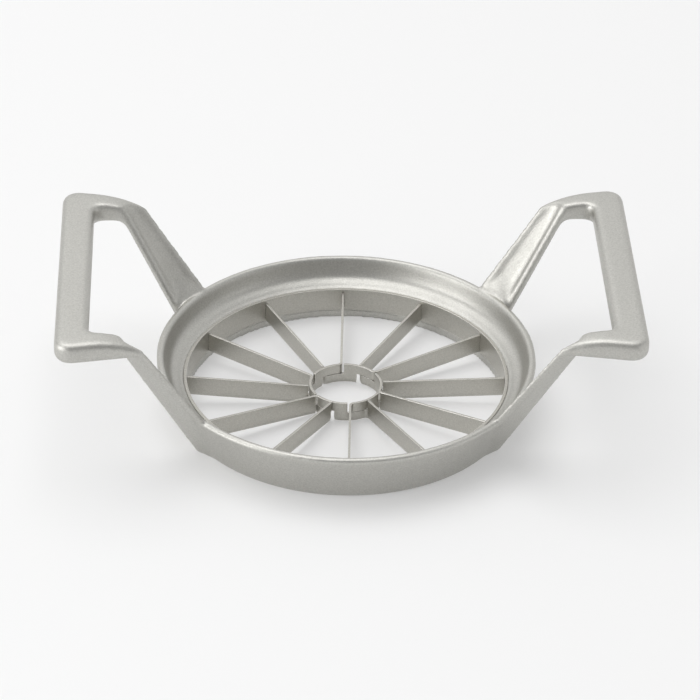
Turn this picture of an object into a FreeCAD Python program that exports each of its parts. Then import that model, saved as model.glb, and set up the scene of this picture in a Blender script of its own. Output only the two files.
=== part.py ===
import FreeCAD, Part
import math
import os

import Sketcher

os.makedirs("parts", exist_ok=True)

# Apple slicer and corer that presses down with two hands.
# One cast frame, a flared ring with a loop handle on each side, holds a rolled steel band,
# and the band holds six bent steel strips that make the twelve blades and the core ring.
# Origin: centre of the ring on the plane it stands on. +X runs to the right-hand handle,
# +Y to the back, +Z up. Lengths in millimetres, angles in degrees.

SIZES = [
    ("band_bore_radius", 55.0, "inside radius of the steel band"),
    ("band_thickness", 1.0, "sheet thickness of the band"),
    ("band_height", 8.4, "height of the band"),
    ("ledge_height", 2.95, "top of the ledge under the band"),
    ("foot_wall", 1.9, "wall beside the band at the foot of the ring"),
    ("foot_radius", "band_bore_radius + band_thickness + foot_wall", "outer wall at the foot"),
    ("lip_flare", 7.95, "how far the lip stands out beyond the foot"),
    ("lip_radius", "foot_radius + lip_flare", "outer wall at the lip"),
    ("lip_height", 19.9, "top of the lip"),
    ("lip_thickness", 2.4, "wall thickness at the lip"),
    ("seat_rise", 0.4, "rise of the sloping shelf beside the band"),
    ("shelf_width", 3.1, "sloping shelf from the band to the steep inner wall"),
    ("shelf_radius", "band_bore_radius + band_thickness + shelf_width", "corner at that wall"),
    ("shelf_drop", 0.15, "how far the shelf starts below the top of the band"),
    ("shelf_bevel", 2.3, "bevel in the hollow between shelf and steep wall"),
    ("lip_outer_bevel", 1.2, "bevel on the outer edge of the lip"),
    ("lip_inner_bevel", 0.7, "bevel on the inner edge of the lip"),
    ("foot_bevel", 1.1, "bevel round the foot of the ring"),
    ("grip_top", 55.4, "top face of the grips"),
    ("grip_thickness", 7.3, "height of a grip bar"),
    ("finger_room", 21.05, "room for the fingers between the lip and a grip"),
    ("grip_inner_reach", "lip_radius + finger_room", "inner side of a grip from the centre"),
    ("grip_width", 11.1, "width of a grip bar"),
    ("grip_outer_reach", "grip_inner_reach + grip_width", "outer side of a grip from the centre"),
    ("opening_half_length", 40.5, "half the length of the finger opening"),
    ("end_width", 11.2, "width of a handle beyond the end of its opening"),
    ("handle_half_length", "opening_half_length + end_width", "half the length of a handle"),
    ("grip_corner_round", 5.5, "outer corners of a handle seen from above"),
    ("opening_corner_round", 3.5, "corners of the finger opening by the grip"),
    ("arm_facing", 54.0, "direction an arm faces, from the handle's axis"),
    ("arm_thickness", 2.5, "thickness of an arm"),
    ("arm_setback", 2.9, "how far an arm's outer face starts inside the foot"),
    ("arm_foot_reach", "foot_radius - arm_setback", "outer face of an arm at the foot"),
    ("arm_outer_turn", 41.06, "direction of an arm's outer edge at the lip"),
    ("arm_outer_root_x", "lip_radius * cos(arm_outer_turn * 1deg)", "that place along X"),
    ("arm_outer_root_y", "lip_radius * sin(arm_outer_turn * 1deg)", "that place along Y"),
    ("arm_inner_turn", 29.69, "direction of an arm's opening edge at the foot"),
    ("arm_inner_root_x", "foot_radius * cos(arm_inner_turn * 1deg)", "that place along X"),
    ("arm_inner_root_y", "foot_radius * sin(arm_inner_turn * 1deg)", "that place along Y"),
    ("arm_inset", 20.0, "how far an arm runs on inside the ring before it is trimmed"),
    ("arm_edge_round", 12.0, "easing of an arm's edges into the grip, seen from above"),
    ("elbow_span", 8.9, "end of the opening between an arm and the grip"),
    ("arm_inner_top_x", "grip_inner_reach - elbow_span", "opening edge of an arm at the top"),
    ("elbow_setback", 0.15, "how far an arm's outer face bends short of the opening's corner"),
    ("arm_top_reach", "arm_inner_top_x * cos(arm_facing * 1deg)"
     " + opening_half_length * sin(arm_facing * 1deg) - elbow_setback",
     "outer face of an arm under the grip"),
    ("arm_rise", "grip_top - grip_thickness", "height of an arm"),
    ("arm_lean", "atan((arm_top_reach - arm_foot_reach) / arm_rise) / 1deg",
     "lean of an arm from upright"),
    ("crown_radius", 37, "gentle fall of a handle's top from the grip to the arm"),
    ("elbow_inner_round", 3.5, "bend under the grip"),
    ("arm_top_round", 1.2, "rounding along the upper edges of an arm"),
    ("grip_top_round", 2.0, "rounding along the upper edges of a grip"),
    ("handle_under_bevel", 1.3, "bevel along the lower edges of a handle"),
    ("dish_radius_low", 20.0, "hollow in the face of an arm, at the lip"),
    ("dish_radius_high", 8.5, "hollow in the face of an arm, under the grip"),
    ("dish_depth", 0.9, "depth of that hollow"),
    ("strip_thickness", 0.8, "sheet thickness of the blade strips"),
    ("strip_height", 7.2, "height of the blade strips"),
    ("strip_foot", 0.2, "lower edge of the core ring above the table"),
    ("core_radius", 12.7, "outside radius of the core ring"),
    ("bend_radius", 1.6, "bend from core ring to blade, at mid sheet"),
    ("blade_offset", 1.75, "how far a blade passes beside the centre"),
    ("blade_turn", 2.7, "turn of the blade star, clockwise from above"),
    ("blade_slope", 3.7, "fall of the blades towards the core ring"),
    ("seam_gap", 0.3, "gap where upper and lower halves meet"),
    ("slit_gap", 0.6, "gap between a core wall and the next blade"),
    ("butt_gap", 0.25, "gap between a blade's free half and the core ring"),
    ("grind_height", 1.1, "height of the ground cutting edge"),
    ("grind_flat", 0.12, "flat left on the cutting edge"),
    ("tab_height", 3.6, "height of the tab at a blade's end"),
    ("tab_reach", 1.5, "how far a tab reaches past the bore of the band"),
    ("tab_clearance", 0.06, "clearance of a tab in its slot"),
    ("pocket_clearance", 0.3, "clearance behind and around the tabs"),
]

STRIP_COUNT = 6
BLADE_COUNT = 2 * STRIP_COUNT
BLADE_STEP = 360 / BLADE_COUNT

doc = FreeCAD.newDocument("apple_slicer")
sheet = doc.addObject("Spreadsheet::Sheet", "Sizes")
for row, (alias, size, meaning) in enumerate(SIZES, start=1):
    sheet.set(f"A{row}", meaning)
    sheet.set(f"B{row}", f"={size}")
    sheet.setAlias(f"B{row}", alias)
    doc.recompute()


def number(formula):
    """Value of a formula written over the sheet's sizes."""
    result = sheet.evalExpression(str(formula).replace("Sizes.", ""))
    return float(getattr(result, "Value", result))


# Places that follow from the sizes, written once as formulas
BAND_OUTER = "(Sizes.band_bore_radius + Sizes.band_thickness)"
BAND_TOP = "(Sizes.ledge_height + Sizes.band_height)"
SHELF_START = f"({BAND_TOP} - Sizes.shelf_drop)"
GRIP_BOTTOM = "(Sizes.grip_top - Sizes.grip_thickness)"
SHEET_HALF = "(Sizes.strip_thickness / 2)"
CORE_MID = f"(Sizes.core_radius - {SHEET_HALF})"
BEND_REACH = f"({CORE_MID} + Sizes.bend_radius)"
ODD_SIDE = "(Sizes.blade_offset - Sizes.bend_radius)"
EVEN_SIDE = "(Sizes.blade_offset + Sizes.bend_radius)"
ODD_START = f"sqrt({BEND_REACH}^2 - {ODD_SIDE}^2)"
EVEN_START = f"sqrt({BEND_REACH}^2 - {EVEN_SIDE}^2)"
SLOPE = "tan(Sizes.blade_slope * 1deg)"
TAB_MID = (f"(Sizes.strip_foot + Sizes.strip_height / 2"
           f" + {SLOPE} * (Sizes.band_bore_radius - {BEND_REACH}))")
TAB_LOW = f"({TAB_MID} - Sizes.tab_height / 2)"
TAB_HIGH = f"({TAB_MID} + Sizes.tab_height / 2)"
TAB_END = "(Sizes.band_bore_radius + Sizes.tab_reach)"


def origin_plane(body, role):
    """One of a body's own origin planes or axes, found by its role."""
    for item in body.Origin.OriginFeatures:
        if item.Role == role:
            return item
    raise ValueError(role)


def draw_outline(sketch, corners):
    """Closed outline whose corners keep their distances from the sketch's origin."""
    places = [FreeCAD.Vector(number(across), number(up), 0) for across, up in corners]
    last = len(corners) - 1
    for index, place in enumerate(places):
        following = places[0 if index == last else index + 1]
        sketch.addGeometry(Part.LineSegment(place, following), False)
    for index in range(len(corners)):
        following = 0 if index == last else index + 1
        sketch.addConstraint(Sketcher.Constraint("Coincident", index, 2, following, 1))
    for index, (across, up) in enumerate(corners):
        for kind, formula in (("DistanceX", across), ("DistanceY", up)):
            place = sketch.addConstraint(
                Sketcher.Constraint(kind, -1, 1, index, 1, number(formula)))
            sketch.setExpression(f"Constraints[{place}]", str(formula))


def body_sketch(body, name, role, corners, shift=(0, 0, 0), turn=None):
    """Sketch on one of the body's origin planes, moved and turned in that plane's own axes."""
    sketch = body.newObject("Sketcher::SketchObject", name)
    sketch.AttachmentSupport = [(origin_plane(body, role), "")]
    sketch.MapMode = "FlatFace"
    if turn is not None:
        sketch.AttachmentOffset = FreeCAD.Placement(
            FreeCAD.Vector(), FreeCAD.Rotation(FreeCAD.Vector(0, 1, 0), number(turn)))
        sketch.setExpression("AttachmentOffset.Rotation.Angle", f"({turn}) * 1deg")
    for axis, formula in zip("xyz", shift):
        if formula != 0:
            sketch.setExpression(f"AttachmentOffset.Base.{axis}", str(formula))
    draw_outline(sketch, corners)
    return sketch


def free_sketch(name, corners, placement=None):
    """Sketch that belongs to no body, for an extrusion."""
    sketch = doc.addObject("Sketcher::SketchObject", name)
    if placement is not None:
        sketch.Placement = placement
    draw_outline(sketch, corners)
    return sketch


def revolve(body, name, sketch, angle, kind="PartDesign::Revolution"):
    """Turn a sketch about its own upright axis, anticlockwise from above."""
    feature = body.newObject(kind, name)
    feature.Profile = sketch
    feature.ReferenceAxis = (sketch, ["V_Axis"])
    feature.Angle = number(angle)
    if angle != 360:
        feature.setExpression("Angle", f"({angle}) * 1deg")
    doc.recompute()
    return feature


def pad(body, name, sketch, length, direction=None, reverse=False):
    """Pad a sketch by a length measured square to it, straight or along a slope."""
    feature = body.newObject("PartDesign::Pad", name)
    feature.Profile = sketch
    feature.setExpression("Length", length)
    feature.Reversed = reverse
    if direction is not None:
        feature.UseCustomVector = True
        feature.AlongSketchNormal = True
        feature.Direction = FreeCAD.Vector(*[number(part) for part in direction])
        feature.setExpression("Direction.z", direction[2])
    doc.recompute()
    return feature


def edges_where(shape, test):
    """Names of the edges of a shape that pass a test."""
    return [f"Edge{index}" for index, edge in enumerate(shape.Edges, start=1) if test(edge)]


def ring_edge(radius, height):
    """Test for the full circle at a radius and a height."""
    def test(edge):
        curve = edge.Curve
        if not isinstance(curve, Part.Circle):
            return False
        return math.isclose(curve.Radius, radius, abs_tol=1e-4) and math.isclose(
            curve.Center.z, height, abs_tol=1e-4)
    return test


def round_edges(name, base, radius_of):
    """Part fillet on every edge for which radius_of gives a radius."""
    picked = []
    for index, edge in enumerate(base.Shape.Edges, start=1):
        radius = radius_of(edge)
        if radius:
            picked.append((index, radius, radius))
    fillet = doc.addObject("Part::Fillet", name)
    fillet.Base = base
    fillet.Edges = picked
    doc.recompute()
    return fillet


def boolean(kind, name, *shapes):
    """Boolean of two or more objects."""
    feature = doc.addObject(kind, name)
    if kind == "Part::MultiFuse":
        feature.Shapes = list(shapes)
    else:
        feature.Base, feature.Tool = shapes
    feature.Refine = True
    doc.recompute()
    return feature


# Ring of the frame: a turned wall with a ledge for the band and a groove behind the tabs
def make_ring():
    body = doc.addObject("PartDesign::Body", "ring_wall")
    lip_inner = "(Sizes.lip_radius - Sizes.lip_thickness)"
    groove_wall = f"({TAB_END} + Sizes.pocket_clearance)"
    groove_low = f"({TAB_LOW} - Sizes.pocket_clearance)"
    groove_high = f"({TAB_HIGH} + Sizes.pocket_clearance)"
    section = body_sketch(body, "wall_section", "XZ_Plane", [
        ("Sizes.band_bore_radius", "0"),
        ("Sizes.foot_radius", "0"),
        ("Sizes.lip_radius", "Sizes.lip_height"),
        (lip_inner, "Sizes.lip_height"),
        ("Sizes.shelf_radius", f"{SHELF_START} + Sizes.seat_rise"),
        (BAND_OUTER, SHELF_START),
        (BAND_OUTER, groove_high),
        (groove_wall, groove_high),
        (groove_wall, groove_low),
        (BAND_OUTER, groove_low),
        (BAND_OUTER, "Sizes.ledge_height"),
        ("Sizes.band_bore_radius", "Sizes.ledge_height"),
    ])
    wall = revolve(body, "wall", section, 360)
    lip = number("Sizes.lip_height")
    shelf = number(f"{SHELF_START} + Sizes.seat_rise")
    bevels = [
        ("lip_outer_bevel", number("Sizes.lip_radius"), lip),
        ("lip_inner_bevel", number(lip_inner), lip),
        ("shelf_bevel", number("Sizes.shelf_radius"), shelf),
        ("foot_bevel", number("Sizes.foot_radius"), 0),
    ]
    base = wall
    for alias, radius, height in bevels:
        bevel = body.newObject("PartDesign::Chamfer", f"ring_{alias}")
        bevel.Base = (base, edges_where(base.Shape, ring_edge(radius, height)))
        bevel.setExpression("Size", f"Sizes.{alias}")
        doc.recompute()
        base = bevel
    body.Tip = base
    return body


# Handle: a quarter is what its outline from above and its side profile have in common
def extrude(name, base, direction, length, both_ways=False):
    """Solid extrusion of a free sketch."""
    feature = doc.addObject("Part::Extrusion", name)
    feature.Base = base
    feature.DirMode = "Custom"
    feature.Dir = direction
    feature.Solid = True
    feature.Symmetric = both_ways
    feature.setExpression("LengthFwd", length)
    doc.recompute()
    return feature


def upright_edge_at(across, along):
    """Test for the straight upright edge at a place seen from above."""
    def test(edge):
        first, last = edge.Vertexes[0].Point, edge.Vertexes[-1].Point
        return all(math.hypot(point.x - across, point.y - along) < 1e-4 for point in (first, last))
    return test


def make_handle_outline():
    """Outline of a quarter handle from above, with its corners rounded."""
    inset = "Sizes.arm_inset"
    outer_fall = "(Sizes.handle_half_length - Sizes.arm_outer_root_y)"
    outer_run = "(Sizes.grip_outer_reach - Sizes.arm_outer_root_x)"
    inner_fall = "(Sizes.opening_half_length - Sizes.arm_inner_root_y)"
    inner_run = "(Sizes.arm_inner_top_x - Sizes.arm_inner_root_x)"
    plan = free_sketch("handle_plan", [
        (f"Sizes.arm_outer_root_x - {inset}",
         f"Sizes.arm_outer_root_y - {inset} * {outer_fall} / {outer_run}"),
        ("Sizes.grip_outer_reach", "Sizes.handle_half_length"),
        ("Sizes.grip_outer_reach", "0"),
        ("Sizes.grip_inner_reach", "0"),
        ("Sizes.grip_inner_reach", "Sizes.opening_half_length"),
        ("Sizes.arm_inner_top_x", "Sizes.opening_half_length"),
        (f"Sizes.arm_inner_root_x - {inset}",
         f"Sizes.arm_inner_root_y - {inset} * {inner_fall} / {inner_run}"),
    ])
    block = extrude("handle_block", plan, FreeCAD.Vector(0, 0, 1), "Sizes.grip_top")
    corners = [
        ("Sizes.grip_outer_reach", "Sizes.handle_half_length", "grip_corner_round"),
        ("Sizes.grip_inner_reach", "Sizes.opening_half_length", "opening_corner_round"),
        ("Sizes.arm_inner_top_x", "Sizes.opening_half_length", "arm_edge_round"),
    ]

    def corner_radius(edge):
        for across, along, alias in corners:
            if upright_edge_at(number(across), number(along))(edge):
                return number(alias)
        return 0

    return round_edges("handle_outline", block, corner_radius)


def make_arm_profile():
    """Side profile of an arm and the plate it bends into, run along the arm's width."""
    lean = "tan(Sizes.arm_lean * 1deg)"
    wall = "(Sizes.arm_thickness / cos(Sizes.arm_lean * 1deg))"
    far = "(Sizes.grip_outer_reach + Sizes.handle_half_length)"
    turn = FreeCAD.Rotation(FreeCAD.Vector(0, 0, 1), number("Sizes.arm_facing"))
    upright = FreeCAD.Rotation(FreeCAD.Vector(1, 0, 0), 90)
    side = free_sketch("arm_side", [
        (f"Sizes.arm_foot_reach - {wall}", "0"),
        ("Sizes.arm_foot_reach", "0"),
        (f"Sizes.arm_foot_reach + {GRIP_BOTTOM} * {lean}", GRIP_BOTTOM),
        (far, GRIP_BOTTOM),
        (far, "Sizes.grip_top"),
        (f"Sizes.arm_foot_reach - {wall} + Sizes.grip_top * {lean}", "Sizes.grip_top"),
    ], FreeCAD.Placement(FreeCAD.Vector(), turn.multiply(upright)))
    across = turn.multVec(FreeCAD.Vector(0, 1, 0))
    prism = extrude("arm_prism", side, across, f"2 * {far}", True)
    facing = turn.multVec(FreeCAD.Vector(1, 0, 0))

    def bend_radius(edge):
        first, last = edge.Vertexes[0].Point, edge.Vertexes[-1].Point
        if abs(first.z - last.z) > 1e-6 or first.dot(facing) > number(far) - 1:
            return 0
        if abs(first.z - number(GRIP_BOTTOM)) < 1e-6 and abs(last.sub(first).dot(across)) > 1:
            return number("elbow_inner_round")
        return 0

    return round_edges("arm_bent", prism, bend_radius)


def make_handle_blank(outline, bent):
    """Quarter of a handle with sharp edges: arm, elbow and half of the grip."""
    corner = "(Sizes.grip_inner_reach - Sizes.opening_corner_round)"
    arm_zone = doc.addObject("Part::Box", "arm_zone")
    arm_zone.setExpression("Length", f"{corner} + 1")
    arm_zone.setExpression("Width", "2 * Sizes.handle_half_length")
    arm_zone.setExpression("Height", "Sizes.grip_top")
    arm = boolean("Part::Common", "arm_whole", outline, bent)
    arm = boolean("Part::Common", "arm_blank", arm, arm_zone)
    slab = doc.addObject("Part::Box", "grip_slab")
    slab.setExpression("Placement.Base.x", corner)
    slab.setExpression("Placement.Base.z", GRIP_BOTTOM)
    slab.setExpression("Length", "Sizes.grip_outer_reach")
    slab.setExpression("Width", "2 * Sizes.handle_half_length")
    slab.setExpression("Height", "Sizes.grip_thickness")
    grip = boolean("Part::Common", "grip_blank", outline, slab)
    blank = boolean("Part::MultiFuse", "handle_blank", arm, grip)
    crown = doc.addObject("Part::Cylinder", "crown_curve")
    crown.setExpression("Radius", "Sizes.crown_radius")
    crown.setExpression("Height", "2 * Sizes.handle_half_length")
    crown.Placement.Rotation = FreeCAD.Rotation(FreeCAD.Vector(1, 0, 0), -90)
    crown.setExpression("Placement.Base.x", "Sizes.grip_inner_reach - 0.5")
    crown.setExpression("Placement.Base.z", "Sizes.grip_top - Sizes.crown_radius")
    above = doc.addObject("Part::Box", "crown_block")
    above.setExpression("Length", "Sizes.crown_radius")
    above.setExpression("Width", "2 * Sizes.handle_half_length")
    above.setExpression("Height", "Sizes.grip_thickness")
    above.setExpression("Placement.Base.x", "Sizes.grip_inner_reach - 0.5 - Sizes.crown_radius")
    above.setExpression("Placement.Base.z", f"{GRIP_BOTTOM} + 0.5")
    tool = boolean("Part::Cut", "crown_tool", above, crown)
    return boolean("Part::Cut", "handle_crowned", blank, tool)


def rim_edges(shape, upper):
    """Edges that run round the upper or the lower face of a quarter handle, with their numbers."""
    sharing = {}
    for face in shape.Faces:
        first, last, low, high = face.ParameterRange
        normal = face.normalAt((first + last) / 2, (low + high) / 2)
        for edge in face.Edges:
            sharing.setdefault(edge.hashCode(), []).append(normal)
    picked = []
    for index, edge in enumerate(shape.Edges, start=1):
        normals = sharing[edge.hashCode()]
        upright = [abs(normal.z) < 1e-3 for normal in normals]
        ends = [vertex.Point for vertex in edge.Vertexes]
        buried = max(math.hypot(end.x, end.y) for end in ends) < number("Sizes.band_bore_radius")
        at_cut = max(end.y for end in ends) < 1e-3 or max(end.z for end in ends) < 1e-3
        if sum(upright) != 1 or buried or at_cut:
            continue
        if (normals[upright.index(False)].z > 0) == upper:
            picked.append((index, ends))
    return picked


def ease_handle(blank):
    """Round the upper edges, softer on the grip than on the arm, and bevel the lower edges."""
    def upper_radius(place):
        on_grip = place.x > number("Sizes.grip_inner_reach") - 1
        return number("Sizes.grip_top_round" if on_grip else "Sizes.arm_top_round")

    eased = doc.addObject("Part::Fillet", "handle_eased")
    eased.Base = blank
    eased.Edges = [(index, upper_radius(ends[0]), upper_radius(ends[-1]))
                   for index, ends in rim_edges(blank.Shape, True)]
    doc.recompute()
    bevel = number("Sizes.handle_under_bevel")
    under = doc.addObject("Part::Chamfer", "handle_beveled")
    under.Base = eased
    under.Edges = [(index, bevel, bevel) for index, ends in rim_edges(eased.Shape, False)]
    doc.recompute()
    return under


def outline_place(start, end, outwards, facing):
    """Place where one side of the handle's outline lies a given way out along the arm's facing."""
    first = FreeCAD.Vector(number(f"Sizes.{start}_x"), number(f"Sizes.{start}_y"), 0)
    last = FreeCAD.Vector(number(end[0]), number(end[1]), 0)
    part = (outwards - first.dot(facing)) / (last - first).dot(facing)
    return first + (last - first) * part


def make_dish():
    """Tapering cone that hollows the face of an arm and runs out over its bend."""
    turn = FreeCAD.Rotation(FreeCAD.Vector(0, 0, 1), number("Sizes.arm_facing"))
    facing = turn.multVec(FreeCAD.Vector(1, 0, 0))
    lean = math.radians(number("Sizes.arm_lean"))
    square = FreeCAD.Vector(0, 0, math.sin(lean)) - facing * math.cos(lean)
    wall = number("Sizes.arm_thickness") / math.cos(lean)
    corner_outside = ("Sizes.grip_outer_reach", "Sizes.handle_half_length")
    corner_inside = ("Sizes.arm_inner_top_x", "Sizes.opening_half_length")
    ends = []
    for height, alias in ((number("Sizes.lip_height"), "dish_radius_low"),
                          (number(GRIP_BOTTOM), "dish_radius_high")):
        outwards = number("Sizes.arm_foot_reach") - wall + height * math.tan(lean)
        outside = outline_place("arm_outer_root", corner_outside, outwards, facing)
        inside = outline_place("arm_inner_root", corner_inside, outwards, facing)
        radius = number(f"Sizes.{alias}")
        middle = (outside + inside) * 0.5 + FreeCAD.Vector(0, 0, height)
        ends.append((middle + square * (radius - number("Sizes.dish_depth")), radius))
    (low, wide), (high, narrow) = ends
    run_on = 0.5
    step = (high - low) * run_on
    taper = (wide - narrow) * run_on
    square_cut = math.sqrt(1 - ((wide - narrow) / (high - low).Length) ** 2)
    cone = doc.addObject("Part::Cone", "arm_dish")
    cone.Radius1 = (wide + taper) / square_cut
    cone.Radius2 = (narrow - taper) / square_cut
    cone.Height = (high - low).Length * (1 + 2 * run_on)
    upright = FreeCAD.Vector(0, 0, 1)
    cone.Placement = FreeCAD.Placement(low - step, FreeCAD.Rotation(upright, high - low))
    return cone


def mirrored(name, source, normal):
    """Mirror image of an object about a plane through the origin."""
    feature = doc.addObject("Part::Mirroring", name)
    feature.Source = source
    feature.Normal = normal
    doc.recompute()
    return feature


def make_frame():
    """The whole casting: ring and two handles as one piece of metal."""
    blank = make_handle_blank(make_handle_outline(), make_arm_profile())
    hollowed = boolean("Part::Cut", "handle_hollowed", ease_handle(blank), make_dish())
    inside = doc.addObject("Part::Cone", "ring_inside")
    inside.setExpression("Radius1", "(Sizes.band_bore_radius + Sizes.foot_radius) / 2")
    inside.setExpression("Radius2", "Sizes.lip_radius - Sizes.lip_thickness / 2")
    inside.setExpression("Height", "Sizes.lip_height - Sizes.lip_inner_bevel / 4")
    back_right = boolean("Part::Cut", "quarter_back_right", hollowed, inside)
    front_right = mirrored("quarter_front_right", back_right, FreeCAD.Vector(0, 1, 0))
    back_left = mirrored("quarter_back_left", back_right, FreeCAD.Vector(1, 0, 0))
    front_left = mirrored("quarter_front_left", front_right, FreeCAD.Vector(1, 0, 0))
    return boolean("Part::MultiFuse", "frame_casting", make_ring(), back_right, front_right,
                   back_left, front_left)


# Band: rolled sheet with one slot for the tab of every blade
def make_band():
    body = doc.addObject("PartDesign::Body", "blade_band")
    sheet_section = body_sketch(body, "band_section", "XZ_Plane", [
        ("Sizes.band_bore_radius", "Sizes.ledge_height"),
        (BAND_OUTER, "Sizes.ledge_height"),
        (BAND_OUTER, BAND_TOP),
        ("Sizes.band_bore_radius", BAND_TOP),
    ])
    revolve(body, "band_hoop", sheet_section, 360)
    side = f"({SHEET_HALF} + Sizes.tab_clearance)"
    slot_section = body_sketch(body, "slot_section", "YZ_Plane", [
        (f"Sizes.blade_offset - {side}", f"{TAB_LOW} - Sizes.tab_clearance"),
        (f"Sizes.blade_offset + {side}", f"{TAB_LOW} - Sizes.tab_clearance"),
        (f"Sizes.blade_offset + {side}", f"{TAB_HIGH} + Sizes.tab_clearance"),
        (f"Sizes.blade_offset - {side}", f"{TAB_HIGH} + Sizes.tab_clearance"),
    ])
    slot = body.newObject("PartDesign::Pocket", "tab_slot")
    slot.Profile = slot_section
    slot.Reversed = True
    slot.setExpression("Length", f"{BAND_OUTER} + 1")
    doc.recompute()
    slots = body.newObject("PartDesign::PolarPattern", "tab_slots")
    slots.Originals = [slot]
    slots.Axis = (origin_plane(body, "Z_Axis"), [""])
    slots.Angle = 360
    slots.Occurrences = BLADE_COUNT
    body.Tip = slots
    body.setExpression("Placement.Rotation.Angle", "-Sizes.blade_turn * 1deg")
    doc.recompute()
    return body


# Blade strips: each makes two blades and a sixth of the core ring, and interlocks with the next
HALF_SEAM = "(Sizes.seam_gap / 2)"
MID_HEIGHT = "(Sizes.strip_height / 2)"
GRIND_SIDE = "(Sizes.grind_flat / 2)"


def sheet_corners(middle, part):
    """Section of the sheet about a middle line: the whole height or one half of it."""
    near = f"({middle} - {SHEET_HALF})"
    far = f"({middle} + {SHEET_HALF})"
    if part == "upper":
        low = f"{MID_HEIGHT} + {HALF_SEAM}"
        return [(near, low), (far, low), (far, "Sizes.strip_height"), (near, "Sizes.strip_height")]
    top = f"{MID_HEIGHT} - {HALF_SEAM}" if part == "lower" else "Sizes.strip_height"
    return [
        (f"{middle} - {GRIND_SIDE}", "0"),
        (f"{middle} + {GRIND_SIDE}", "0"),
        (far, "Sizes.grind_height"),
        (far, top),
        (near, top),
        (near, "Sizes.grind_height"),
    ]


def make_strip(index):
    """One bent strip: blade, core wall, blade, with half-height slits that let it cross others."""
    body = doc.addObject("PartDesign::Body", f"blade_strip_{index}")
    past_sheet = f"({SHEET_HALF} + Sizes.slit_gap)"
    lower_start = f"(-60 + asin((Sizes.blade_offset + {past_sheet}) / {CORE_MID}) / 1deg)"
    lower_end = f"(asin({ODD_SIDE} / {BEND_REACH}) / 1deg)"
    bend_turn = f"(asin({EVEN_SIDE} / {BEND_REACH}) / 1deg)"
    upper_start = f"(-90 + {bend_turn})"
    upper_end = f"(-30 + asin((Sizes.blade_offset - {past_sheet}) / {CORE_MID}) / 1deg)"
    centre = (0, 0, 0)
    turned_parts = [
        ("core_wall", "full", CORE_MID, centre, lower_start, f"{upper_end} - {lower_start}"),
        ("core_lower", "lower", CORE_MID, centre, upper_end, f"{lower_end} - {upper_end}"),
        ("core_upper", "upper", CORE_MID, centre, upper_start, f"{lower_start} - {upper_start}"),
        ("odd_bend", "lower", "Sizes.bend_radius", (ODD_START, 0, f"-{ODD_SIDE}"), "90",
         f"90 + {lower_end}"),
        ("even_bend", "upper", "Sizes.bend_radius", (EVEN_SIDE, 0, EVEN_START),
         f"90 + {bend_turn}", f"90 - {bend_turn}"),
    ]
    for name, part, middle, shift, start, sweep in turned_parts:
        section = body_sketch(body, f"{name}_section_{index}", "XZ_Plane",
                              sheet_corners(middle, part), shift, start)
        revolve(body, f"{name}_{index}", section, sweep)
    reach = f"({TAB_END} + 1)"
    root = "(Sizes.core_radius + Sizes.butt_gap)"
    blades = [
        ("odd", "YZ_Plane", "Sizes.blade_offset", ODD_START, (1, 0, SLOPE), False, "upper"),
        ("even", "XZ_Plane", "Sizes.blade_offset", EVEN_START, (0, -1, SLOPE), False, "lower"),
    ]
    for name, role, middle, start, way, reverse, free_half in blades:
        section = body_sketch(body, f"{name}_blade_section_{index}", role,
                              sheet_corners(middle, "full"), (0, 0, start))
        pad(body, f"{name}_blade_{index}", section, f"{reach} - {start}", way, reverse)
        stub = body_sketch(body, f"{name}_root_section_{index}", role,
                           sheet_corners(middle, free_half), (0, 0, root))
        pad(body, f"{name}_root_{index}", stub, f"{start} - {root}")
    bore = "(Sizes.band_bore_radius - Sizes.tab_clearance)"
    above = "(2 * Sizes.strip_height)"
    trim = body_sketch(body, f"end_section_{index}", "XZ_Plane", [
        (bore, "-Sizes.strip_height"),
        (f"2 * {bore}", "-Sizes.strip_height"),
        (f"2 * {bore}", above),
        (bore, above),
        (bore, f"{TAB_HIGH} - Sizes.strip_foot"),
        (TAB_END, f"{TAB_HIGH} - Sizes.strip_foot"),
        (TAB_END, f"{TAB_LOW} - Sizes.strip_foot"),
        (bore, f"{TAB_LOW} - Sizes.strip_foot"),
    ])
    body.Tip = revolve(body, f"tab_ends_{index}", trim, 360, "PartDesign::Groove")
    body.setExpression("Placement.Base.z", "Sizes.strip_foot")
    body.setExpression("Placement.Rotation.Angle",
                       f"({2 * BLADE_STEP} * {2 - index} - Sizes.blade_turn) * 1deg")
    doc.recompute()
    return body


pieces = [make_frame(), make_band()]
pieces += [make_strip(index) for index in range(1, STRIP_COUNT + 1)]
doc.recompute()

for item in doc.Objects:
    if "Invalid" in item.State or "Error" in item.State:
        raise RuntimeError(f"{item.Label} did not build")

for piece in pieces:
    shape = piece.Shape
    if shape.isNull() or not shape.isValid() or len(shape.Solids) != 1:
        raise RuntimeError(f"{piece.Label} is not one sound solid")
    shape.exportStep(f"parts/{piece.Label}.step")
    print(piece.Label, round(shape.Volume, 1), len(shape.Faces))
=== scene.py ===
# %% [markdown]
# # Apple slicer with a cast frame and a star of steel blades
# The tool is one aluminium casting, a rolled steel band and six bent steel strips. The packed
# solids already have the true shapes. This lesson softens the casting as a mould would, gives each
# piece its metal, and sets the light and the camera.

import math

import bpy
import numpy as np
from mathutils import Matrix, Vector


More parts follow.
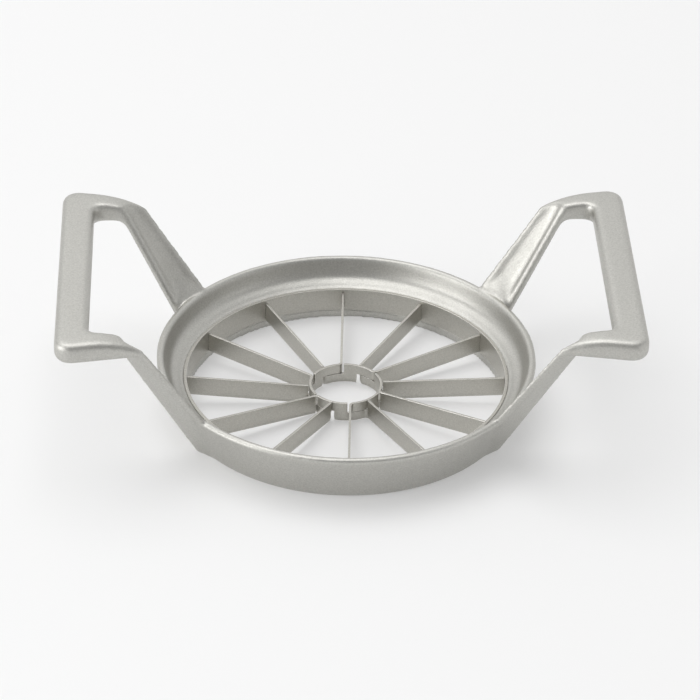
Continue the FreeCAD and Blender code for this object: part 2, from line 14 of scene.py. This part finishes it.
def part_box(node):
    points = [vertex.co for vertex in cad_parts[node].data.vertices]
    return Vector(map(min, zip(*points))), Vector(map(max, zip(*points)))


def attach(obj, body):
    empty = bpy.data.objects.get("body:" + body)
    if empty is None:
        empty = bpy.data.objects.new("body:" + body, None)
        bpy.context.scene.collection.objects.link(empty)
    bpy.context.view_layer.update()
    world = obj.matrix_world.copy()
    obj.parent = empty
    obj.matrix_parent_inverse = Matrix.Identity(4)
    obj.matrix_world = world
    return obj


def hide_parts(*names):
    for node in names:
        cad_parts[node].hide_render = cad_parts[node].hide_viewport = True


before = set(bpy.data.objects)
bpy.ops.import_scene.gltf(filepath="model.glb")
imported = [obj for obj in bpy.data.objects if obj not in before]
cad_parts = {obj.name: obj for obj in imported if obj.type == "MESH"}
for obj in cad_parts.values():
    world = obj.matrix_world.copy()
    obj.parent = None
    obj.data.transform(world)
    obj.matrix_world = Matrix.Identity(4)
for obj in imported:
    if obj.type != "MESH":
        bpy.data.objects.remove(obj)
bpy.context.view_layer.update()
print("nodes:", ", ".join(sorted(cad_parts)))

# %% [markdown]
# Lengths are easier to think about in millimetres, but Blender works in metres here.
# Colours are picked as the hex codes that a screen shows. A shader wants linear light, so one
# function turns a code to linear.

# %% Millimetres and colours
MM = 0.001


def linear(code):
    """Linear colour of an sRGB hex code."""
    levels = [int(code[place:place + 2], 16) / 255 for place in (1, 3, 5)]
    parts = [level / 12.92 if level <= 0.04045 else ((level + 0.055) / 1.055) ** 2.4
             for level in levels]
    return (*parts, 1)


def grey(level):
    """Linear colour of a neutral grey given as a screen level from 0 to 1."""
    return linear("#" + f"{round(level * 255):02x}" * 3)


# %% [markdown]
# The photograph was taken from the front, about 33 degrees above the table, with a long lens that
# keeps the far handle nearly as large as the near one. The camera stands where the edges of the
# solids lie on those in the photograph. A small roll tilts the table as it was in the picture.
# Lens and sensor are in millimetres, and the nearest and farthest sight in metres.

# %% Camera
CAMERA_PLACE = Vector((-45.6, -1040.9, 694.3)) * MM
CAMERA_TARGET = Vector((0.4, -18.8, 33.3)) * MM
CAMERA_ROLL = math.radians(1.142)
CAMERA_LENS = 185.43
CAMERA_SENSOR = 36
NEAREST_SEEN = 0.05
FARTHEST_SEEN = 50

bpy.ops.object.select_all(action="DESELECT")
bpy.ops.object.camera_add(location=CAMERA_PLACE)
camera = bpy.context.object
camera.name = "photo_camera"
looking = (CAMERA_TARGET - CAMERA_PLACE).to_track_quat("-Z", "Y").to_matrix()
camera.rotation_euler = (looking @ Matrix.Rotation(CAMERA_ROLL, 3, "Z")).to_euler()
camera.data.lens = CAMERA_LENS
camera.data.sensor_width = CAMERA_SENSOR
camera.data.clip_start = NEAREST_SEEN
camera.data.clip_end = FARTHEST_SEEN
bpy.context.scene.camera = camera
print("camera distance in m:", round((CAMERA_TARGET - CAMERA_PLACE).length, 3))

# %% [markdown]
# A material is a tree of nodes. They could be set up one by one in the shader editor. Here one
# helper adds a node, sets its values and joins its inputs, so that each material reads as a short
# list of what feeds what.

# %% Node helper


def add_node(tree, kind, settings=None, **inputs):
    """Add a node. An input is named by its label, or i0, i1 and so on, and set or linked."""
    node = tree.nodes.new(kind)
    for name, value in (settings or {}).items():
        setattr(node, name, value)
    for name, value in inputs.items():
        key = int(name[1:]) if name[0] == "i" and name[1:].isdigit() else name.replace("_", " ")
        socket = node.inputs[key]
        if isinstance(value, bpy.types.NodeSocket):
            tree.links.new(value, socket)
        else:
            socket.default_value = value
    return node


def new_material(name):
    """Empty node material and its output node."""
    material = bpy.data.materials.new(name)
    material.use_nodes = True
    tree = material.node_tree
    tree.nodes.clear()
    return material, tree, add_node(tree, "ShaderNodeOutputMaterial")


# %% [markdown]
# Both metals of the slicer share two things. Their grain makes small dark and light specks, which
# a noise gives without an image. And their corners are rubbed smooth by tumbling and use. They
# shine more than the faces, so a lighter colour is painted on them as a painted highlight. Real
# bevels there would cost many faces, so the Bevel node finds the corners instead: its rounded
# normal leans away from the face's own only near a corner. How far it leans is given as a cosine.

# %% Specks and painted highlights on corners
NOISE_LOW = 0.3
NOISE_HIGH = 0.7
BEVEL_SAMPLES = 6


def speckled_colour(tree, grain, dark, light):
    """Colour that goes from dark to light over the middle values of a noise."""
    shade = add_node(tree, "ShaderNodeMapRange", Value=grain, From_Min=NOISE_LOW,
                     From_Max=NOISE_HIGH)
    colour = add_node(tree, "ShaderNodeMix", {"data_type": "RGBA"}, A=linear(dark),
                      B=linear(light), Factor=shade.outputs["Result"])
    return colour.outputs["Result"]


def corner_normal_and_highlight_share(tree, radius, first_lean, full_lean):
    """Rounded normal, and a share of painted highlight that is 1 on corners and 0 on flat faces.
    """
    eased = add_node(tree, "ShaderNodeBevel", {"samples": BEVEL_SAMPLES},
                     Radius=radius).outputs["Normal"]
    flat = add_node(tree, "ShaderNodeNewGeometry").outputs["Normal"]
    lean = add_node(tree, "ShaderNodeVectorMath", {"operation": "DOT_PRODUCT"}, i0=flat, i1=eased)
    share = add_node(tree, "ShaderNodeMapRange", Value=lean.outputs["Value"], From_Min=first_lean,
                     From_Max=full_lean)
    return eased, share.outputs["Result"]


# %% [markdown]
# ## Cast aluminium
# The frame is die cast and then blasted with fine beads. That leaves a grey satin skin with a
# fine grit, a little cloudy where the metal flowed. The grit of the beads is finer than the
# render can show, so it is drawn a few times as coarse. It is bump and not real dents, because
# dents of that size would need millions of faces.

# %% Cast and blasted aluminium
GRIT_MM = 0.55
GRIT_DETAIL = 2.0
GRIT_DEPTH_MM = 0.16
GRIT_STRENGTH = 0.45
CLOUD_MM = 14
CLOUD_DETAIL = 4.0
CAST_NOISE_ROUGHNESS = 0.6
CAST_DARK = "#B7B6B1"
CAST_LIGHT = "#C9C8C3"
CAST_CORNER_HIGHLIGHT = "#D4D3CE"
# Lighter colour painted on the corners as a painted highlight.
CAST_SATIN = 0.42
CAST_DULL = 0.5
CAST_POLISHED = 0.4
CAST_CORNER_MM = 1.0
CAST_FIRST_LEAN = 1.0
CAST_FULL_LEAN = 0.9


def cast_aluminium():
    """Bead-blasted casting: gritty, cloudy in its gloss, smoother on corners, with a painted
    highlight there.
    """
    material, tree, output = new_material("cast_aluminium_bead_blasted")
    place = add_node(tree, "ShaderNodeTexCoord").outputs["Object"]
    grit = add_node(tree, "ShaderNodeTexNoise", Vector=place, Scale=1 / (GRIT_MM * MM),
                    Detail=GRIT_DETAIL, Roughness=CAST_NOISE_ROUGHNESS).outputs["Fac"]
    cloud = add_node(tree, "ShaderNodeTexNoise", Vector=place, Scale=1 / (CLOUD_MM * MM),
                     Detail=CLOUD_DETAIL, Roughness=CAST_NOISE_ROUGHNESS).outputs["Fac"]
    eased, corner = corner_normal_and_highlight_share(tree, CAST_CORNER_MM * MM, CAST_FIRST_LEAN, CAST_FULL_LEAN)
    bump = add_node(tree, "ShaderNodeBump", Height=grit, Strength=GRIT_STRENGTH,
                    Distance=GRIT_DEPTH_MM * MM, Normal=eased)
    metal = speckled_colour(tree, grit, CAST_DARK, CAST_LIGHT)
    # Corners get a painted highlight in colour, and a lower roughness from wear.
    highlighted_metal = add_node(tree, "ShaderNodeMix", {"data_type": "RGBA"}, Factor=corner, A=metal,
                    B=linear(CAST_CORNER_HIGHLIGHT))
    dull = add_node(tree, "ShaderNodeMapRange", Value=cloud, From_Min=NOISE_LOW,
                    From_Max=NOISE_HIGH, To_Min=CAST_SATIN, To_Max=CAST_DULL)
    rough = add_node(tree, "ShaderNodeMix", {"data_type": "FLOAT"}, Factor=corner,
                     A=dull.outputs["Result"], B=CAST_POLISHED)
    shader = add_node(tree, "ShaderNodeBsdfPrincipled", Base_Color=highlighted_metal.outputs["Result"],
                      Metallic=1.0, Roughness=rough.outputs["Result"],
                      Normal=bump.outputs["Normal"])
    tree.links.new(shader.outputs["BSDF"], output.inputs["Surface"])
    return material


# %% [markdown]
# ## Stainless sheet
# Band and strips are cold-rolled stainless steel, darker and browner than the aluminium. Rolling
# leaves a fine grain, and tumbling after bending breaks it up into small specks. These too are
# drawn coarser than they are, to show at all. The edges of the thin sheet catch a bright line,
# which is painted along them in a lighter colour as a painted highlight.

# %% Rolled stainless steel
SPECK_MM = 0.5
SPECK_DETAIL = 2.0
SPECK_NOISE_ROUGHNESS = 0.65
SPECK_DEPTH_MM = 0.06
SPECK_STRENGTH = 0.2
# Near-white colour painted along the sheet's edges as a painted highlight.
SHEET_EDGE_HIGHLIGHT = "#F0EEEA"
SHEET_EDGE_MM = 0.3
SHEET_FIRST_LEAN = 0.99
SHEET_FULL_LEAN = 0.85


def stainless_sheet(name, dark, light, roughness):
    """Satin rolled steel with fine specks and a painted highlight along the edges."""
    material, tree, output = new_material(name)
    place = add_node(tree, "ShaderNodeTexCoord").outputs["Object"]
    speck = add_node(tree, "ShaderNodeTexNoise", Vector=place, Scale=1 / (SPECK_MM * MM),
                     Detail=SPECK_DETAIL, Roughness=SPECK_NOISE_ROUGHNESS).outputs["Fac"]
    eased, edge = corner_normal_and_highlight_share(tree, SHEET_EDGE_MM * MM, SHEET_FIRST_LEAN, SHEET_FULL_LEAN)
    bump = add_node(tree, "ShaderNodeBump", Height=speck, Strength=SPECK_STRENGTH,
                    Distance=SPECK_DEPTH_MM * MM, Normal=eased)
    metal = speckled_colour(tree, speck, dark, light)
    # The edges get a painted highlight in colour.
    highlighted_metal = add_node(tree, "ShaderNodeMix", {"data_type": "RGBA"}, Factor=edge, A=metal,
                    B=linear(SHEET_EDGE_HIGHLIGHT))
    shader = add_node(tree, "ShaderNodeBsdfPrincipled", Base_Color=highlighted_metal.outputs["Result"],
                      Metallic=1.0, Roughness=roughness, Normal=bump.outputs["Normal"])
    tree.links.new(shader.outputs["BSDF"], output.inputs["Surface"])
    return material


# %% [markdown]
# ## The casting's skin
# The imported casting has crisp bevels, but molten metal can't fill a sharp corner of a mould. On
# the real frame every inner corner is a soft cove: the arms flare into the lip, and the shelf
# sweeps up into the wall. A Bevel modifier would tangle where a leaning arm meets the round lip.
# So a copy of the solid is remeshed into small even faces, which can be relaxed anywhere. The
# solid's own mesh is loose triangles, so the copy's doubles are merged first.

# %% Copy and remesh the casting
VOXEL_MM = 0.68
MERGE_MM = 0.001

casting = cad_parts["frame_casting"]
bpy.ops.object.select_all(action="DESELECT")
skin = casting.copy()
skin.data = casting.data.copy()
skin.name = "casting_skin"
bpy.context.collection.objects.link(skin)
skin.select_set(True)
bpy.context.view_layer.objects.active = skin
bpy.ops.object.mode_set(mode="EDIT")
bpy.ops.mesh.select_all(action="SELECT")
bpy.ops.mesh.remove_doubles(threshold=MERGE_MM * MM)
bpy.ops.object.mode_set(mode="OBJECT")
bpy.ops.object.modifier_add(type="REMESH")
remesh = skin.modifiers[-1]
remesh.mode = "VOXEL"
remesh.voxel_size = VOXEL_MM * MM
bpy.ops.object.modifier_apply(modifier=remesh.name)
print("skin faces:", len(skin.data.polygons))

# %% [markdown]
# The skin could be sculpted by hand, but rules for its points give the same skin on each run. A
# rule picks points by their distance from the ring's axis, by their height, both in millimetres,
# and by how far they face outward: 1 is straight away from the axis and -1 straight at it. A
# share that climbs from 0 to 1 over a range lets a change fade in, so that it leaves no step.

# %% Read the skin's points


def read(source, name, kind, width):
    """Values of a mesh collection as an array with one row for each item."""
    values = np.empty(len(source) * width, dtype=kind)
    source.foreach_get(name, values)
    return values.reshape(-1, width)


def rising(values, limits):
    """Share that climbs from 0 at the first limit to 1 at the second."""
    low, high = limits
    return np.clip((values - low) / (high - low), 0, 1)


def blend(first, second, share):
    """Points that are the first ones where the share is 0 and the second where it is 1."""
    share = share[:, None]
    return first * (1 - share) + second * share


edges = read(skin.data.edges, "vertices", np.int32, 2)
start = read(skin.data.vertices, "co", np.float32, 3).astype(np.float64)
facing = read(skin.data.vertices, "normal", np.float32, 3)
from_axis = np.hypot(start[:, 0], start[:, 1]) / MM
height = start[:, 2] / MM
outward = (facing[:, :2] * start[:, :2]).sum(axis=1) / (from_axis * MM)
print("skin points:", len(start))

# %% [markdown]
# Relaxing pulls each point towards its neighbours. A few passes take the crispness off an edge,
# and many passes fill a corner with a wide cove. Blender's Smooth modifier does much the same,
# but with arrays the result can be blended with the points as they were.

# %% Relax points


def relaxed(places, passes):
    """Copy of the places, each moved half way to its neighbours' mean, pass by pass."""
    moved = places.copy()
    count = len(moved)
    first, second = edges.T
    near = np.bincount(first, minlength=count) + np.bincount(second, minlength=count)
    for _ in range(passes):
        for axis in range(3):
            along = moved[:, axis]
            total = np.bincount(first, weights=along[second], minlength=count)
            total += np.bincount(second, weights=along[first], minlength=count)
            moved[:, axis] = (along + total / near) / 2
    return moved


# %% [markdown]
# Inside the ring the shelf slopes up from the band and curls into the wall in one sweep, with no
# corner between them. A bevel gives a curve of one radius, but this one starts flat and ends
# steep, so a straight slope plus a parabola draws it. The lip's outer edge is pushed out to
# where the photograph shows it, because the remesh wears it down. A few passes soften all
# edges, and one more rounds the lip alone.

# %% Shape the shelf, the wall and the lip
BAND_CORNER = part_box("blade_band")[1] / MM
BAND_EDGE = round(BAND_CORNER.x, 2)
BAND_TOP = round(BAND_CORNER.z, 2)
SHELF_DROP = 0.15
SHELF_EDGE = BAND_TOP - SHELF_DROP
SHELF_SLOPE = 0.5
COVE_FOOT = BAND_EDGE + 3.9
COVE_TOP = BAND_EDGE + 6.9
LIP_TOP = SHELF_EDGE + 8.7
LIP_EDGE = BAND_EDGE + 9.35
SHELF_FADES_IN = (BAND_EDGE + 0.1, BAND_EDGE + 0.6)
WALL_ENDS = 64.2
BELOW_SHELF = 0.4
ABOVE_LIP = 0.1
WALL_OUTWARD = 0.3
LIP_SIDE_HEIGHTS = (18.4, 18.8)
LIP_SIDE_STARTS = 64.3
LIP_OUTWARD = 0.2
LIP_HEIGHTS = (16.0, 18.0)
ARMS_START = (65.9, 66.4)
EDGE_PASSES = 3
LIP_PASSES = 1


def cove_height(reach):
    """Height of the cove at a distance from the axis: a sloping shelf that curls up to the lip."""
    climb = np.clip((reach - COVE_FOOT) / (COVE_TOP - COVE_FOOT), 0, 1)
    rise = LIP_TOP - SHELF_EDGE - SHELF_SLOPE * (COVE_TOP - BAND_EDGE)
    curled = SHELF_EDGE + SHELF_SLOPE * (reach - BAND_EDGE) + rise * climb**2
    return np.minimum(curled, LIP_TOP)


inner = (rising(from_axis, SHELF_FADES_IN) * (from_axis < WALL_ENDS) * (outward < WALL_OUTWARD)
         * (height > SHELF_EDGE - BELOW_SHELF) * (height < LIP_TOP + ABOVE_LIP))
rim = (rising(height, LIP_SIDE_HEIGHTS) * (outward > LIP_OUTWARD)
       * (from_axis > LIP_SIDE_STARTS) * (from_axis < LIP_EDGE))
shaped = start.copy()
shaped[:, 2] += inner * (cove_height(from_axis) - height) * MM
shaped[:, :2] *= (1 + rim * (LIP_EDGE / from_axis - 1))[:, None]
clean = relaxed(shaped, EDGE_PASSES)
on_lip = rising(height, LIP_HEIGHTS) * (1 - rising(from_axis, ARMS_START))
clean = blend(clean, relaxed(clean, LIP_PASSES), on_lip)
print("points of shelf and wall:", int((inner > 0.5).sum()))
print("points of the lip's side:", int((rim > 0.5).sum()))

# %% [markdown]
# Relaxing alone would wear the lip and the arms away. So each point may only move outwards, which
# fills the coves and leaves what stands proud. The wide flare under the arms takes many passes,
# and the shelf takes few. Beside the band the points go back to their first places, because the
# band's seam is crisp.

# %% Fill the coves
SHELF_PASSES = 3
FLARE_PASSES = 160
FLARE_FADES_IN = (63.0, 64.5)
BAND_SEAM_ENDS = (57.0, 58.5)

shelf = relaxed(clean, SHELF_PASSES)
flare = relaxed(shelf, FLARE_PASSES)
soft = blend(shelf, flare, rising(from_axis, FLARE_FADES_IN))
outwards = ((soft - clean) * facing).sum(axis=1)
filled = relaxed(clean + facing * np.maximum(outwards, 0)[:, None], EDGE_PASSES)
filled = blend(filled, start, 1 - rising(from_axis, BAND_SEAM_ENDS))
print("deepest cove in mm:", round(float(outwards.max()) / MM, 2))

# %% [markdown]
# The face of each arm has a shallow pocket, with a rim beside the finger opening. An inset face
# pushed in would leave hard steps, which a casting doesn't have. Here the pocket fades in from
# two lines along the arm, seen from above, and it fades out at the lip and before the elbow. It
# is kept to points that face as the arm's inner face does, where 1 is the same way. The four
# arms mirror each other, so all points and normals are folded onto one quarter.

# %% Press in the arm pockets
ARM_OPENING_LINE = ((50.3, 28.7), (78.0, 40.5))
ARM_OUTER_LINE = ((98.0, 51.7), (49.7, 43.3))
ARM_FACING = math.radians(54)
ARM_LEAN = math.radians(26)
POCKET_MM = 0.6
FACE_ALIKE = (0.6, 0.85)
OPENING_RIM = (1.8, 3.0)
OUTER_RAMP = (0.5, 6.5)
LIP_RAMP = (67.5, 70.0)
ELBOW_RAMP = (73.0, 79.0)

folded = np.abs(start[:, :2]) / MM
signs = np.sign(start)
signs[:, 2] = 1
turned = facing * signs
arm_face = np.array((-math.cos(ARM_FACING) * math.cos(ARM_LEAN),
                     -math.sin(ARM_FACING) * math.cos(ARM_LEAN), math.sin(ARM_LEAN)))


def beside(line):
    """Distance in millimetres to the left of a line seen from above."""
    (x_from, y_from), (x_to, y_to) = line
    run = math.hypot(x_to - x_from, y_to - y_from)
    return ((folded[:, 1] - y_from) * (x_to - x_from)
            - (folded[:, 0] - x_from) * (y_to - y_from)) / run


pocket = (rising(turned @ arm_face, FACE_ALIKE) * rising(beside(ARM_OPENING_LINE), OPENING_RIM)
          * rising(beside(ARM_OUTER_LINE), OUTER_RAMP) * rising(from_axis, LIP_RAMP)
          * (1 - rising(folded[:, 0], ELBOW_RAMP)))
filled = filled - facing * pocket[:, None] * POCKET_MM * MM
print("points in the arm pockets:", int((pocket > 0.5).sum()))

# %% [markdown]
# The remesh leaves a hair of a gap beside the band. So the skin's edge there is tucked a third of
# a millimetre towards the axis, into the band's wall, and only a clean seam shows. The skin is
# then kept within the casting's own box, and stands for the solid in the render. The solid stays
# for collision.

# %% Tuck the seam and put the skin in place
TUCK_MM = 0.35
TUCK_HEIGHTS = (9.0, 10.5)
TUCK_ENDS = (56.3, 57.2)

tuck = TUCK_MM * MM * rising(height, TUCK_HEIGHTS) * (1 - rising(from_axis, TUCK_ENDS))
filled[:, :2] -= tuck[:, None] * start[:, :2] / (from_axis * MM)[:, None]
low, high = (np.array(corner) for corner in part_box("frame_casting"))
inside = np.clip(filled, low, high)
skin.data.vertices.foreach_set("co", inside.astype(np.float32).ravel())
skin.data.update()
bpy.ops.object.shade_smooth()
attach(skin, "root")
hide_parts("frame_casting")
print("skin size in mm:", np.round(np.ptp(inside, axis=0) / MM, 1))

# %% [markdown]
# ## Dressing the pieces
# Band and blades are the same steel. The blades catch a little more light than the band, so they
# are painted a shade lighter in colour, which is painted light, and they are a little glossier.
# Each node comes with its own material slots, so the slots stay and only the material in them is
# changed.

# %% Dress the pieces
BAND_DARK = "#B0AEA7"
BAND_LIGHT = "#C2C0B9"
BAND_ROUGHNESS = 0.42
# The blades' colours are a shade lighter than the band's as painted light, for the light they
# catch.
BLADE_DARK_PAINTED_LIGHTER = "#B4B2AB"
BLADE_LIGHT_PAINTED_LIGHTER = "#C6C4BD"
BLADE_ROUGHNESS = 0.38

casting_metal = cast_aluminium()
band_metal = stainless_sheet("stainless_band_satin", BAND_DARK, BAND_LIGHT, BAND_ROUGHNESS)
blade_metal_painted_lighter = stainless_sheet("stainless_blade_satin_painted_lighter", BLADE_DARK_PAINTED_LIGHTER, BLADE_LIGHT_PAINTED_LIGHTER, BLADE_ROUGHNESS)
metals = {"frame_casting": casting_metal, "blade_band": band_metal}

skin.data.materials.clear()
skin.data.materials.append(casting_metal)
for name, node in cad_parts.items():
    metal = metals.get(name, blade_metal_painted_lighter)
    for slot in node.material_slots:
        slot.material = metal
    print(name, "is", metal.name)

# %% [markdown]
# ## Floor and light
# The slicer stands on a white sweep under soft studio light. The sweep is one large plane. The
# camera, and the metal in its reflections, see a little glow added. So the paper reads as nearly
# white while the slicer's soft shadow stays on it. More light would whiten it too, but would
# bleach the metal.

# %% Floor
FLOOR_SIZE = 8.0
PAPER_LEVEL = 0.81
PAPER_GLOW = 0.30
GLOW_LEVEL = 0.97


def white_paper():
    """Matt white paper, with a glow that only the camera and reflections see."""
    material, tree, output = new_material("white_paper_sweep")
    paper = add_node(tree, "ShaderNodeBsdfDiffuse", Color=grey(PAPER_LEVEL))
    seen = add_node(tree, "ShaderNodeLightPath")
    either = add_node(tree, "ShaderNodeMath", {"operation": "MAXIMUM"},
                      i0=seen.outputs["Is Camera Ray"], i1=seen.outputs["Is Glossy Ray"])
    glow = add_node(tree, "ShaderNodeMath", {"operation": "MULTIPLY"}, i0=either.outputs["Value"],
                    i1=PAPER_GLOW)
    lit = add_node(tree, "ShaderNodeEmission", Color=grey(GLOW_LEVEL),
                   Strength=glow.outputs["Value"])
    both = add_node(tree, "ShaderNodeAddShader", i0=paper.outputs["BSDF"],
                    i1=lit.outputs["Emission"])
    tree.links.new(both.outputs["Shader"], output.inputs["Surface"])
    return material


bpy.ops.object.select_all(action="DESELECT")
bpy.ops.mesh.primitive_plane_add(size=FLOOR_SIZE, location=(0, 0, 0))
floor = bpy.context.object
floor.name = "studio_sweep"
floor.data.materials.append(white_paper())
print("floor:", FLOOR_SIZE, "m wide")

# %% [markdown]
# A large soft box stands to the left, a second one hangs overhead, and a weak reflector fills from
# the right. Small lamps would put hard white spots on the metal, so all three are wide discs that
# face the slicer. Each is given by where it stands and how wide it is, in metres, and by its
# power in watts.

# %% Lamps
LAMPS = [
    ("left_soft_box", (-1.45, -0.6, 0.5), 1.2, 13.0),
    ("overhead_soft_box", (-0.4, 0.4, 1.9), 1.9, 16.5),
    ("right_reflector", (1.6, -0.7, 0.5), 1.4, 2.6),
]
for name, place, size, power in LAMPS:
    bpy.ops.object.select_all(action="DESELECT")
    bpy.ops.object.light_add(type="AREA", location=place)
    lamp = bpy.context.object
    lamp.name = name
    lamp.data.shape = "DISK"
    lamp.data.size = size
    lamp.data.energy = power
    lamp.rotation_euler = (-Vector(place)).to_track_quat("-Z", "Y").to_euler()
    print(name, "gives", power, "W")

# %% [markdown]
# Metal shows what stands around it, so an even white room would make it flat. The room is dim in
# front and brighter behind, and the metal mirrors that as soft gradients. The camera itself sees
# a plain light backdrop. The Standard view shows each colour about as it is written.

# %% Room
ROOM_FRONT = 0.36
ROOM_BACK = 0.83
ROOM_TURNS = (-0.6, 0.7)
BACKDROP_LEVEL = 0.965

world = bpy.data.worlds.new("white_studio")
bpy.context.scene.world = world
world.use_nodes = True
tree = world.node_tree
tree.nodes.clear()
seen = add_node(tree, "ShaderNodeLightPath")
way = add_node(tree, "ShaderNodeTexCoord").outputs["Generated"]
split = add_node(tree, "ShaderNodeSeparateXYZ", Vector=way)
depth = add_node(tree, "ShaderNodeMapRange", {"interpolation_type": "SMOOTHSTEP"},
                 Value=split.outputs["Y"], From_Min=ROOM_TURNS[0], From_Max=ROOM_TURNS[1],
                 To_Min=ROOM_FRONT, To_Max=ROOM_BACK)
room = add_node(tree, "ShaderNodeBackground", Color=grey(1.0), Strength=depth.outputs["Result"])
backdrop = add_node(tree, "ShaderNodeBackground", Color=grey(BACKDROP_LEVEL), Strength=1.0)
shown = add_node(tree, "ShaderNodeMixShader", i0=seen.outputs["Is Camera Ray"],
                 i1=room.outputs["Background"], i2=backdrop.outputs["Background"])
add_node(tree, "ShaderNodeOutputWorld", Surface=shown.outputs["Shader"])
bpy.context.scene.view_settings.view_transform = "Standard"
print("room light from", ROOM_FRONT, "in front to", ROOM_BACK, "behind")
